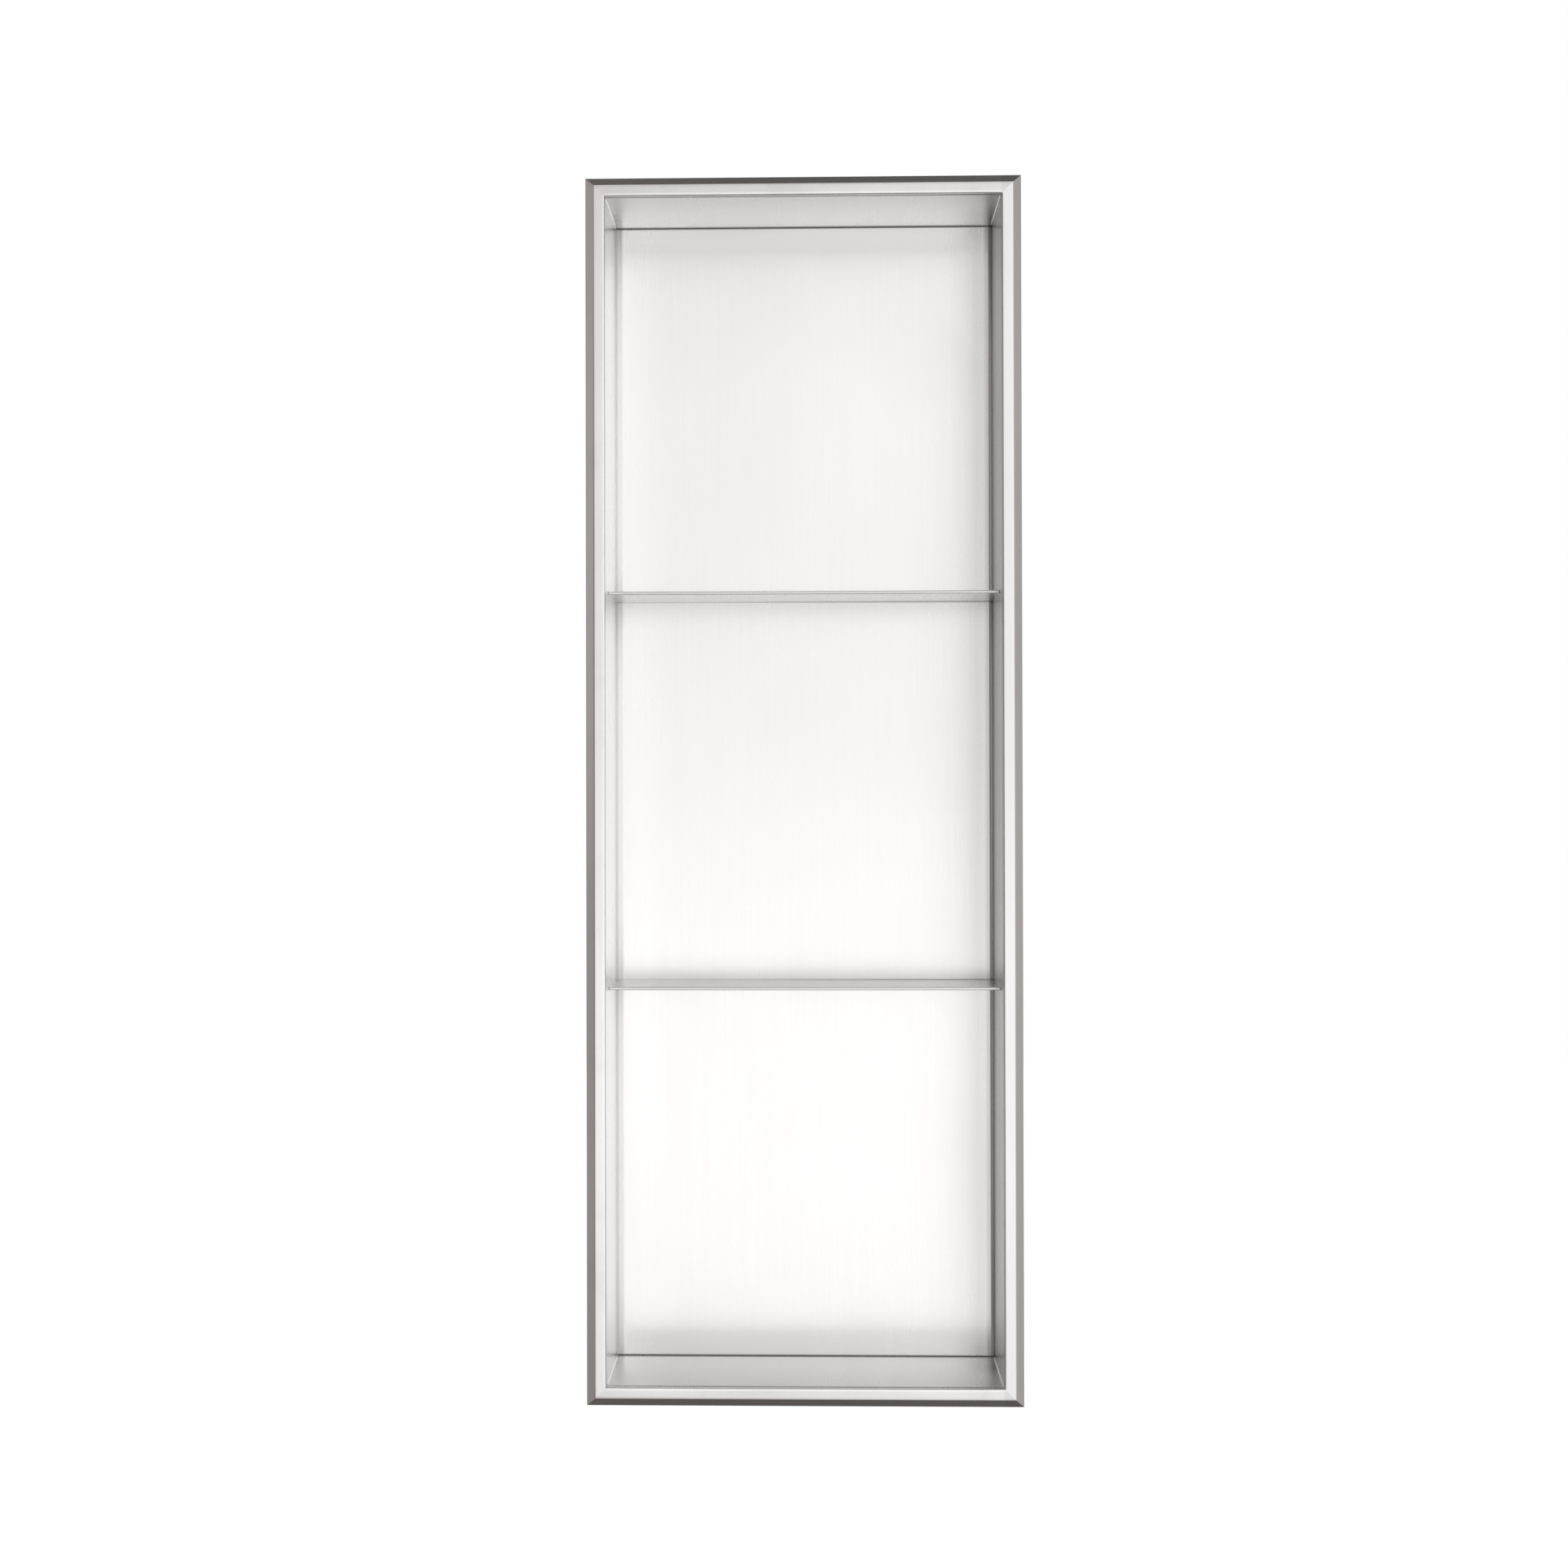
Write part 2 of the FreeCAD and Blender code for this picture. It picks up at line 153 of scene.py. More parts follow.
class NicheFinishes(bpy.types.PropertyGroup):
    """Colours of the metal, the foam and the studio."""

    frame_steel: FloatVectorProperty(
        name="Frame Steel", description="Reflected colour of the brushed face frame",
        default=(0.75, 0.745, 0.738), **COLOUR)
    box_steel: FloatVectorProperty(
        name="Box Steel", description="Reflected colour of the finer brushed inside",
        default=(0.775, 0.77, 0.765), **COLOUR)
    mill: FloatVectorProperty(
        name="Mill Finish", description="Reflected colour of the faces behind the wall",
        default=(0.56, 0.56, 0.555), **COLOUR)
    plate_steel: FloatVectorProperty(
        name="Plate Steel", description="Reflected colour of the end plates",
        default=(0.565, 0.56, 0.555), **COLOUR)
    shelf_steel: FloatVectorProperty(
        name="Shelf Steel", description="Reflected colour of the shelves",
        default=(0.56, 0.555, 0.55), **COLOUR)
    # Colour of painted shade: the dark corner lines at the back and the darker right-hand ends of
    # the shelves and end plates.
    corner: FloatVectorProperty(
        name="Unpolished Corner", description="Thin line that the polishing wheel misses",
        default=(0.36, 0.35, 0.34), **COLOUR)
    straw: FloatVectorProperty(
        name="Straw Tint", description="Outer band of the heat tint at a weld",
        default=(0.58, 0.43, 0.22), **COLOUR)
    blue: FloatVectorProperty(
        name="Blue Tint", description="Inner band of the heat tint at a weld",
        default=(0.24, 0.27, 0.38), **COLOUR)
    foam: FloatVectorProperty(
        name="Gasket Foam", description="Closed-cell foam of the gasket",
        default=(0.035, 0.035, 0.037), **COLOUR)
    floor: FloatVectorProperty(
        name="Floor", description="Plain floor of the studio",
        default=(0.9, 0.9, 0.9), **COLOUR)
    frame_roughness: FloatProperty(
        name="Frame Roughness", description="Roughness of the brushed face frame",
        default=0.28, min=0, max=1, subtype="FACTOR")
    inside_roughness: FloatProperty(
        name="Inside Roughness", description="Roughness of the finer brushed inside",
        default=0.28, min=0, max=1, subtype="FACTOR")
    grain_contrast: FloatProperty(
        name="Grain Contrast", description="Tone difference between the lines of the grain",
        default=0.01, min=0, max=0.5, subtype="FACTOR")


# ---------- node tree helpers

class Wire:
    """An output socket that adds nodes when it is used in an expression."""

    def __init__(self, graph, socket):
        self.graph = graph
        self.socket = socket

    def output(self, name):
        """Another output of the same node."""
        outputs = self.socket.node.outputs
        found = [s for s in outputs if name in (s.identifier, s.name) and s.enabled]
        return Wire(self.graph, found[0])

    def maths(self, operation, *others):
        return self.graph.maths(operation, self, *others)

    def __add__(self, other):
        return self.maths("ADD", other)

    def __sub__(self, other):
        return self.maths("SUBTRACT", other)

    def __mul__(self, other):
        return self.maths("MULTIPLY", other)

    def __truediv__(self, other):
        return self.maths("DIVIDE", other)

    def __rsub__(self, other):
        return self.graph.maths("SUBTRACT", other, self)

    __radd__ = __add__
    __rmul__ = __mul__

    def smooth(self, low, high, start=0.0, end=1.0):
        """Soft step of the value from low to high."""
        return self.graph.add(
            "ShaderNodeMapRange", {"interpolation_type": "SMOOTHSTEP"},
            {"Value": self, "From Min": low, "From Max": high, "To Min": start, "To Max": end})


class Graph:
    """Adds nodes to one node tree: a material's, the world's or a modifier's."""

    def __init__(self, tree):
        self.tree = tree
        tree.nodes.clear()

    def add(self, kind, settings=None, sockets=None):
        """One node of the given type. Its settings are set before its sockets."""
        node = self.tree.nodes.new(kind)
        for name, value in (settings or {}).items():
            if name == "stops":
                self.set_stops(node.color_ramp.elements, value)
            elif name == "captures":
                node.capture_items.new("FLOAT", value)
            else:
                setattr(node, name, value)
        for name, value in (sockets or {}).items():
            self.feed(node, name, value)
        shown = [socket for socket in node.outputs if socket.enabled]
        return Wire(self, shown[0]) if shown else node

    @staticmethod
    def set_stops(elements, stops):
        """Ramp stops as (position, level or colour) pairs."""
        while len(elements) < len(stops):
            elements.new(1.0)
        for element, (position, value) in zip(elements, stops):
            element.position = position
            level = value if hasattr(value, "__len__") else (value,) * 3
            element.color = (*level, 1.0)

    def feed(self, node, name, value):
        """Links or sets one input, named by its identifier, name or place."""
        if isinstance(name, int):
            target = node.inputs[name]
        else:
            target = [s for s in node.inputs if name in (s.identifier, s.name) and s.enabled][0]
        if isinstance(value, Wire):
            self.tree.links.new(value.socket, target)
        elif target.type == "RGBA" and len(value) == 3:
            target.default_value = (*value, 1.0)
        else:
            target.default_value = value

    def maths(self, operation, *values):
        return self.add("ShaderNodeMath", {"operation": operation}, dict(enumerate(values)))

    def mix(self, mask, first, second):
        """Colour that goes from first to second with the mask."""
        return self.add(
            "ShaderNodeMix", {"data_type": "RGBA"},
            {"Factor_Float": mask, "A_Color": first, "B_Color": second}).output("Result_Color")

    def cloud(self, place, stretch, detail=2.0, roughness=0.5, offset=(0, 0, 0)):
        """Noise on the place, with a frequency per metre for each axis."""
        mapped = self.add("ShaderNodeMapping", {"vector_type": "POINT"},
                          {"Vector": place, "Scale": stretch, "Location": offset})
        return self.add("ShaderNodeTexNoise", {"noise_dimensions": "3D"},
                        {"Vector": mapped, "Scale": 1.0, "Detail": detail,
                         "Roughness": roughness})


def new_material(name):
    """A material with an empty tree, its graph, and its pattern coordinates."""
    material = bpy.data.materials.new(name)
    material.use_nodes = True
    graph = Graph(material.node_tree)
    place = graph.add("ShaderNodeTexCoord").output("Object")
    return material, graph, place


def axes(graph, vector):
    """The vector's X, Y and Z."""
    split = graph.add("ShaderNodeSeparateXYZ", None, {"Vector": vector})
    return [split.output(axis) for axis in "XYZ"]


def surface(graph, **sockets):
    """Ends a material in one Principled shader."""
    named = {name.replace("_", " "): value for name, value in sockets.items()}
    shader = graph.add("ShaderNodeBsdfPrincipled", None, named)
    graph.add("ShaderNodeOutputMaterial", None, {"Surface": shader})


# ---------- materials

GRAIN_SPREAD = 0.6    # how much more a grain scatters light across it than along it

HAIR, STREAK = (420, 9), (150, 2.5)    # per metre, across and along the grain

# Gains below 1 paint shade (right rail, right wall) and gains above 1 paint light (left wall,
# ends of the back); the smudge gain is the steel's own colour change.
RIGHT_RAIL_SHADE_GAIN = 0.9    # gains on the colour of the steel, by place
SMUDGE_GAIN, SMUDGE_SHARE = 0.88, 0.5
BACK_END_LIGHT_GAIN = 1.28
LEFT_WALL_LIGHT_GAIN, RIGHT_WALL_SHADE_GAIN = 1.22, 0.8
BEND_COARSER = 0.3    # added to the roughness of the left rear bend
# Reach and strength of the painted shade at the right-hand ends of the shelves and end plates.
END_SHADE_REACH, END_SHADE_SHARE = 32 * MM, 0.9

# Fades of the painted light and shade:
END_FADE = (34 * MM, 6 * MM)    # from an end plate: where the gain starts and is full
WALL_FADE = (7 * MM, 4 * MM)    # from a wall's face, likewise
STRAW_HALO, BLUE_HALO = (8 * MM, 3 * MM), (4.5 * MM, 1 * MM)    # reach and core
FLOOR_GLOW = 0.72


def gained(metal, gain):
    """The metal's colour times a gain, at most white."""
    return [min(1.0, gain * value) for value in metal]


def corner_painted_shade(graph, place):
    """Mask of painted shade: a thin dark line on the back, beside the plates and the shelves,
    stronger towards the right under the shelves.
    """
    x, y, z = axes(graph, place)
    height = z.maths("ABSOLUTE")
    by_plate = height.smooth(HALF_HEIGHT - 1.2 * MM, HALF_HEIGHT - 0.7 * MM)
    by_plate = by_plate * height.smooth(HALF_HEIGHT, HALF_HEIGHT + 0.2 * MM, 1.0, 0.0)
    under_shelf = height.smooth(SHELF_LEVEL - 0.9 * MM, SHELF_LEVEL - 0.5 * MM)
    under_shelf = under_shelf * height.smooth(SHELF_LEVEL, SHELF_LEVEL + 0.2 * MM, 1.0, 0.0)
    fade = x.smooth(-HALF_WIDTH, HALF_WIDTH, 0.15, 0.8)
    on_back = y.smooth(END_PLATE_REAR - 4 * MM, END_PLATE_REAR - 3 * MM)
    return (by_plate + under_shelf * fade).maths("MINIMUM", 1.0) * on_back


def nose_painted_shade(graph, place, hair):
    """Mask of painted shade on the shelves' front edges: the mill colour on the left part, fading
    out towards the right-hand end.
    """
    x, y, z = axes(graph, place)
    edge = y.smooth(SHELF_FRONT + 0.5 * MM, SHELF_FRONT + 1.1 * MM, 1.0, 0.0)
    edge = edge * y.smooth(SHELF_FRONT - 0.3 * MM, SHELF_FRONT - 0.1 * MM)
    level = z.maths("ABSOLUTE")
    edge = edge * level.smooth(SHELF_LEVEL - 0.4 * MM, SHELF_LEVEL - 0.2 * MM)
    edge = edge * level.smooth(SHELF_LEVEL + SHELF_THICK + 0.2 * MM,
                               SHELF_LEVEL + SHELF_THICK + 0.4 * MM, 1.0, 0.0)
    inside = x.maths("ABSOLUTE").smooth(HALF_WIDTH - 0.4 * MM, HALF_WIDTH - 0.2 * MM, 1.0, 0.0)
    # Painted shade, full at the left and gone towards the right, with a ragged end.
    ground = (x + (hair - 0.5) * (60 * MM)).smooth(-0.6 * HALF_WIDTH, 0.35 * HALF_WIDTH, 1.0, 0.0)
    return edge * inside * ground


def end_painted_shade(graph, place):
    """Mask of painted shade at the right-hand ends of the shelves and the end plates."""
    x, y, _z = axes(graph, place)
    near = x.smooth(HALF_WIDTH - END_SHADE_REACH, HALF_WIDTH - 2 * MM, 0.0, END_SHADE_SHARE)
    return near * y.smooth(SHELF_FRONT + 1 * MM, BACK_OUTSIDE - 30 * MM)


def frame_shade_and_smudges(graph, place, colour, metal):
    """Painted shade on the right-hand rail, and soft smudges all round the frame."""
    x = axes(graph, place)[0]
    # Painted shade: the right-hand rail is darker.
    right = x.smooth(HALF_WIDTH - 1 * MM, HALF_WIDTH + 1 * MM)
    colour = graph.mix(right, colour, gained(metal, RIGHT_RAIL_SHADE_GAIN))
    soiled = graph.cloud(place, (34, 34, 26), 3.0, 0.6, (5.2, 0.0, 1.3)).smooth(0.5, 0.72)
    return graph.mix(soiled * SMUDGE_SHARE, colour, gained(metal, SMUDGE_GAIN)), 0.0


def box_light_and_shade(graph, place, colour, metal):
    """Painted light on the left wall and the ends of the back, painted shade on the right wall,
    and a coarser left bend.
    """
    x, y, z = axes(graph, place)
    # Painted light on the left wall and near the end plates, painted shade on the right wall.
    left = x.smooth(WALL_FADE[1] - HALF_WIDTH, WALL_FADE[0] - HALF_WIDTH, 1.0, 0.0)
    right = x.smooth(HALF_WIDTH - WALL_FADE[0], HALF_WIDTH - WALL_FADE[1])
    ends = z.maths("ABSOLUTE").smooth(HALF_HEIGHT - END_FADE[0], HALF_HEIGHT - END_FADE[1])
    colour = graph.mix(ends, colour, gained(metal, BACK_END_LIGHT_GAIN))
    colour = graph.mix(left, colour, gained(metal, LEFT_WALL_LIGHT_GAIN))
    colour = graph.mix(right, colour, gained(metal, RIGHT_WALL_SHADE_GAIN))
    bend = left * y.smooth(BACK_OUTSIDE - 7 * MM, BACK_OUTSIDE - 4 * MM)
    return colour, bend * BEND_COARSER


def brushed_steel(name, finishes, metal, roughness, across, along, tone=None, level=False):
    """Linished stainless: across and along say which axes lie so to the grain.

    A tone function paints light and shade on a sheet by place, and level is for end plates and
    shelves, whose right-hand ends get painted shade. Any sheet also gets painted shade where it
    lies in the back corners or at the shelf noses."""
    material, graph, place = new_material(name)
    grain = [a + b for a, b in zip(across, along)]
    hair, streak = (
        graph.cloud(place, [fine * a + long * b for a, b in zip(across, along)], 3.0, rough)
        for (fine, long), rough in ((HAIR, 0.6), (STREAK, 0.55)))
    patch = graph.cloud(place, [9 * g for g in grain], 2.0, 0.5)
    shade = hair * 0.5 + streak * 0.3 + patch * 0.2
    darker = gained(metal, 1 - finishes.grain_contrast)
    lighter = gained(metal, 1 + finishes.grain_contrast)
    colour = graph.mix(shade.smooth(0.35, 0.65), darker, lighter)
    coarser = 0.0
    if tone:
        colour, coarser = tone(graph, place, colour, metal)
    # Painted shade: a thin dark line in the back corners, beside the plates and the shelves.
    colour = graph.mix(corner_painted_shade(graph, place), colour, tuple(finishes.corner))
    # Painted shade: the left part of each shelf nose takes the mill colour.
    colour = graph.mix(nose_painted_shade(graph, place, hair), colour, tuple(finishes.mill))
    # Painted shade at the right-hand ends of the end plates and the shelves.
    if level:
        colour = graph.mix(end_painted_shade(graph, place), colour, tuple(finishes.corner))
    smear = patch.smooth(0.42, 0.68)
    rough = roughness - 0.02 + 0.03 * streak + 0.015 * smear + coarser
    surface(graph, Base_Color=colour, Metallic=1.0, Roughness=rough, Anisotropic=GRAIN_SPREAD)
    return material


def mill_steel(name, finishes):
    """Unpolished back of the sheet: cloudy, with rolling lines, rubs and heat tint."""
    material, graph, place = new_material(name)
    rolled = graph.cloud(place, (260, 260, 6), 3.0, 0.6)
    cloudy = graph.cloud(place, (14, 14, 14), 4.0, 0.6)
    rub = graph.cloud(place, (36, 36, 210), 2.0, 0.7, (3.1, 1.7, 0.4)).smooth(0.6, 0.72)
    darker = gained(finishes.mill, 0.84)
    colour = graph.mix(cloudy.smooth(0.3, 0.7), darker, tuple(finishes.mill))
    colour = graph.mix(heat_halo(graph, place, *STRAW_HALO), colour, tuple(finishes.straw))
    colour = graph.mix(heat_halo(graph, place, *BLUE_HALO), colour, tuple(finishes.blue))
    rough = 0.4 + 0.12 * cloudy + 0.06 * rolled - 0.06 * rub
    relief = graph.add("ShaderNodeBump", None,
                       {"Height": rolled * 0.6 + cloudy * 0.4, "Strength": 0.4,
                        "Distance": 0.04 * MM})
    surface(graph, Base_Color=colour, Metallic=1.0, Roughness=rough, Normal=relief)
    return material


def heat_halo(graph, place, reach, core):
    """Mask round the plug welds of both shelves and along the end plates' welds."""
    x, y, z = axes(graph, place)
    height = z.maths("ABSOLUTE")
    level = (height - (SHELF_LEVEL + SHELF_THICK / 2)).maths("ABSOLUTE")
    third = x.maths("PINGPONG", TAB_PITCH / 2)
    beside_back = (third - TAB_HALF_BACK).maths("MAXIMUM", 0.0)
    beside_wall = ((y - TAB_WALL_PLACE).maths("ABSOLUTE") - TAB_HALF_WALL).maths("MAXIMUM", 0.0)
    on_wall = x.maths("ABSOLUTE").smooth(HALF_WIDTH - 1 * MM, HALF_WIDTH)
    beside = beside_back * (1 - on_wall) + beside_wall * on_wall
    away = (level * level + beside * beside).maths("SQRT")
    wander = graph.cloud(place, (90, 90, 90), 2.0) * (2 * MM)
    inward = (HALF_WIDTH - x.maths("ABSOLUTE")).maths("MINIMUM", BACK_OUTSIDE - y)
    end = (HALF_HEIGHT - height).maths("ABSOLUTE").maths("MAXIMUM", inward)
    return (away.maths("MINIMUM", end) + wander).smooth(core, reach, 1.0, 0.0)


def weld_metal(name, finishes, heat, roughness):
    """Weld bead: bright metal with fine frosting and, where heat is given, oxide tint."""
    material, graph, place = new_material(name)
    band = graph.cloud(place, (60, 60, 60), 3.0, 0.6)
    frost = graph.cloud(place, (1600, 1600, 1600), 2.0, 0.5)
    bright = gained(finishes.box_steel, 1.06)
    colour = graph.mix(heat * band.smooth(0.35, 0.6), bright, tuple(finishes.straw))
    colour = graph.mix(heat * band.smooth(0.52, 0.66), colour, tuple(finishes.blue))
    rough = roughness + 0.12 * frost
    relief = graph.add("ShaderNodeBump", None,
                       {"Height": frost, "Strength": 0.4, "Distance": 0.03 * MM})
    surface(graph, Base_Color=colour, Metallic=1.0, Roughness=rough, Normal=relief)
    return material


def gasket_foam(name, finishes):
    """Closed-cell foam: small burst cells over a soft, slightly dusty skin."""
    material, graph, place = new_material(name)
    cells = graph.add("ShaderNodeTexVoronoi", {"feature": "F1"},
                      {"Vector": place, "Scale": 1500.0, "Randomness": 1.0}).output("Distance")
    dust = graph.cloud(place, (40, 40, 40), 3.0, 0.6)
    lighter = gained(finishes.foam, 2.2)
    colour = graph.mix(dust.smooth(0.4, 0.75), tuple(finishes.foam), lighter)
    pits = cells.smooth(0.1, 0.5)
    relief = graph.add("ShaderNodeBump", None,
                       {"Height": pits, "Strength": 0.7, "Distance": 0.25 * MM})
    surface(graph, Base_Color=colour, Metallic=0.0, Roughness=0.8 + 0.12 * dust, Normal=relief)
    return material


def studio_floor(name, finishes):
    """Plain floor that stays nearly white."""
    material, graph, _place = new_material(name)
    surface(graph, Base_Color=tuple(finishes.floor), Roughness=0.9, Metallic=0.0,
            Emission_Color=(1.0, 1.0, 1.0), Emission_Strength=FLOOR_GLOW)
    return material


# ---------- mesh helpers

ARC_STEPS = 9
BODY_STEPS, PLATE_STEPS, SHELF_STEPS, SHELF_ROWS = 97, 41, 161, 50
RAIL_SPACING, FOAM_SPACING = 8 * MM, 4 * MM
SHARP_ANGLE = math.radians(32)
TAB_PITCH = 100 * MM
TAB_HALF_BACK = 12.5 * MM
TAB_HALF_WALL = 10 * MM
TAB_WALL_PLACE = (SHELF_FRONT + BACK_OUTSIDE) / 2 - 0.75 * MM


def spread(start, end, count):
    """Evenly spaced values from start to end, both included."""
    return [start + (end - start) * index / (count - 1) for index in range(count)]


def bent_sheet(corners, thickness, side, spacing):
    """(face, back) point pairs along a sheet bent at (x, y, face radius) corners.

    The back lies to the left of the travel for side 1 and to the right for side -1."""
    points = [Vector((x, y)) for x, y, _radius in corners]
    headings = [(b - a).normalized() for a, b in zip(points, points[1:])]
    line = []
    start = points[0]
    for index, heading in enumerate(headings):
        end = points[index + 1]
        turn = 0.0
        if index + 1 < len(headings):
            radius = corners[index + 1][2]
            turn = heading.angle_signed(headings[index + 1])
            end = end - heading * radius * math.tan(abs(turn) / 2)
        count = max(2, round((end - start).length / spacing) + 1)
        line += [(start.lerp(end, t), heading) for t in spread(0, 1, count)]
        if turn:
            line += bend_points(end, heading, turn, radius)
            start = line.pop()[0]
    pairs = []
    for point, heading in line:
        across = Vector((-heading.y, heading.x)) * side * thickness
        pairs.append((point, point + across))
    return pairs


def bend_points(start, heading, turn, radius):
    """Points and headings round one bend, after its first point."""
    sign = -1 if turn > 0 else 1
    centre = start + Vector((-heading.y, heading.x)) * sign * radius
    made = []
    for part in spread(0, 1, ARC_STEPS)[1:]:
        angle = -turn * part
        cos, sin = math.cos(angle), math.sin(angle)
        arm = start - centre
        turned_arm = Vector((arm.x * cos - arm.y * sin, arm.x * sin + arm.y * cos))
        turned_way = Vector((heading.x * cos - heading.y * sin,
                             heading.x * sin + heading.y * cos))
        made.append((centre + turned_arm, turned_way))
    return made


def sheet_mesh(name, pairs, steps, place, materials):
    """Closed sheet: the row of (face, back) pairs carried through the steps by place."""
    mesh = bpy.data.meshes.new(name)
    shell = bmesh.new()
    rows = []
    for step in steps:
        rows.append([[shell.verts.new(place(step, point)) for point in pair]
                     for pair in pairs])
    for here, there in zip(rows, rows[1:]):
        for a, b, c, d in zip(here, there, there[1:], here[1:]):
            shell.faces.new([a[0], b[0], c[0], d[0]])
            back = shell.faces.new([a[1], d[1], c[1], b[1]])
            back.material_index = len(materials) - 1
        for column in (0, -1):
            a, b = here[column], there[column]
            shell.faces.new([a[0], a[1], b[1], b[0]])
    for row in (rows[0], rows[-1]):
        for a, b in zip(row, row[1:]):
            shell.faces.new([a[0], b[0], b[1], a[1]])
    bmesh.ops.recalc_face_normals(shell, faces=shell.faces)
    shell.to_mesh(mesh)
    shell.free()
    mesh.shade_smooth()
    mesh.set_sharp_from_angle(angle=SHARP_ANGLE)
    for material in materials:
        mesh.materials.append(material)
    return mesh


def set_grain_direction(mesh):
    """Moves the texture space far off along Y, so that the grain's spread runs along X."""
    mesh.use_auto_texspace = False
    mesh.texspace_location = (0.0, -1000.0, 0.0)
    mesh.texspace_size = (1.0, 1.0, 1.0)


def bring_in(name, mesh, slot, *nodes):
    """Links a finished mesh as a piece that stands for the named CAD nodes."""
    piece = bpy.data.objects.new(name, mesh)
    bpy.context.scene.collection.objects.link(piece)
    settle(piece, slot, *nodes)


def settle(piece, slot, *nodes):
    """Puts a piece on the body, in its nodes' place, and hides those nodes; slot is not used."""
    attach(piece, "root")
    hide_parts(*nodes)


def stray(point, pitch, amount, seed):
    """Smooth unevenness of up to about the amount, alike over one pitch."""
    return amount * noise.noise(point / pitch + Vector((seed * 3.7, seed * 1.3, 0.0)))


# ---------- face frame

SIDES = (
    ("top", 0, HALF_WIDTH, HALF_HEIGHT),
    ("right", 90, HALF_HEIGHT, HALF_WIDTH),
    ("bottom", 180, HALF_WIDTH, HALF_HEIGHT),
    ("left", 270, HALF_HEIGHT, HALF_WIDTH),
)


def around(point, degrees):
    """A point of the top side turned about Y to one of the four sides."""
    return Euler((0, math.radians(degrees), 0)).to_matrix() @ Vector(point)


def rail_pairs(sizes):
    """Section of the frame as (outward, forward): leg, face, soft bend and bevel."""
    leg_end = RAIL_PROUD - sizes.leg_length
    corners = (
        (0.0, leg_end, 0.0),
        (0.0, RAIL_PROUD, sizes.rail_edge_radius),
        (RAIL_WIDTH - sizes.bevel_width, RAIL_PROUD, sizes.bevel_radius),
        (RAIL_WIDTH, 0.0, 0.0),
    )
    pairs = bent_sheet(corners, sizes.rail_sheet, -1, 1.5 * MM)
    foot = RAIL_WIDTH - sizes.rail_sheet * math.sqrt(2)
    pairs[-1] = (pairs[-1][0], Vector((foot, 0.0)))
    return pairs


def rail_mesh(name, sizes, material, turn, half_length, half_distance):
    """One folded rail, mitred at both ends, a little wavy as ground sheet is."""
    flat = RAIL_WIDTH - sizes.bevel_width - 1.5 * MM

    def place(step, point):
        outward, forward = point
        along = step * (half_length + outward)
        bed = Vector((along, 0.0, turn))
        give = 0.5 + stray(bed, 70 * MM, 0.5, sizes.seed) + stray(bed, 23 * MM, 0.15, sizes.seed)
        free = math.sin(math.pi * min(1.0, max(0.0, outward / RAIL_WIDTH)))
        fall = min(1.0, max(0.0, (outward - 1.5 * MM) / flat)) ** 2
        drop = sizes.face_crown * fall + sizes.face_wave * give * free
        if forward > RAIL_PROUD / 2 or outward > flat:
            forward -= drop * max(0.0, forward / RAIL_PROUD)
        end = half_length + RAIL_WIDTH
        pinned = min(1.0, (end - abs(along)) / (30 * MM))
        outward += 0.16 * MM * give * pinned * max(0.0, 1 - outward / (3 * MM))
        return around((along, -forward, half_distance + outward), turn)

    count = round(2 * half_length / RAIL_SPACING)
    mesh = sheet_mesh(name, rail_pairs(sizes), spread(-1, 1, count), place, [material])
    if half_length == HALF_WIDTH:
        set_grain_direction(mesh)
    return mesh


class NICHE_OT_face_frame(bpy.types.Operator):
    """Fold the four bevelled rails of the face frame"""
    bl_idname = "niche.face_frame"
    bl_label = "Face Frame"

    def execute(self, context):
        sizes, finishes = context.scene.niche_sizes, context.scene.niche_finishes
        steel = brushed_steel("frame_brushed_steel", finishes, finishes.frame_steel,
                              finishes.frame_roughness, (1, 1, 0), (0, 0, 1), frame_shade_and_smudges)
        for side, turn, half_length, half_distance in SIDES:
            name = "rail_" + side
            mesh = rail_mesh(name, sizes, steel, turn, half_length, half_distance)
            bring_in(name, mesh, "frame_steel", "frame_" + side + "_rail")
        return {"FINISHED"}


# ---------- box

def box_materials(finishes):
    """Brushed inside face and mill-finish outside face, shared by the box's sheets."""
    inside = bpy.data.materials.get("box_brushed_inside")
    outside = bpy.data.materials.get("box_mill_outside")
    if inside is None:
        inside = brushed_steel("box_brushed_inside", finishes, finishes.box_steel,
                               finishes.inside_roughness, (1, 1, 0), (0, 0, 1), box_light_and_shade)
        outside = mill_steel("box_mill_outside", finishes)
    return [inside, outside]


def body_pairs(sizes):
    """Plan of the body sheet, from the left flange round the back to the right one."""
    flange = HALF_WIDTH + FLANGE_WIDTH
    back = BACK_OUTSIDE - sizes.box_sheet
    corners = (
        (-flange, -FLANGE_FRONT, 0.0),
        (-HALF_WIDTH, -FLANGE_FRONT, sizes.front_bend),
        (-HALF_WIDTH, back, sizes.rear_bend),
        (HALF_WIDTH, back, sizes.rear_bend),
        (HALF_WIDTH, -FLANGE_FRONT, sizes.front_bend),
        (flange, -FLANGE_FRONT, 0.0),
    )
    return bent_sheet(corners, sizes.box_sheet, 1, 9 * MM)


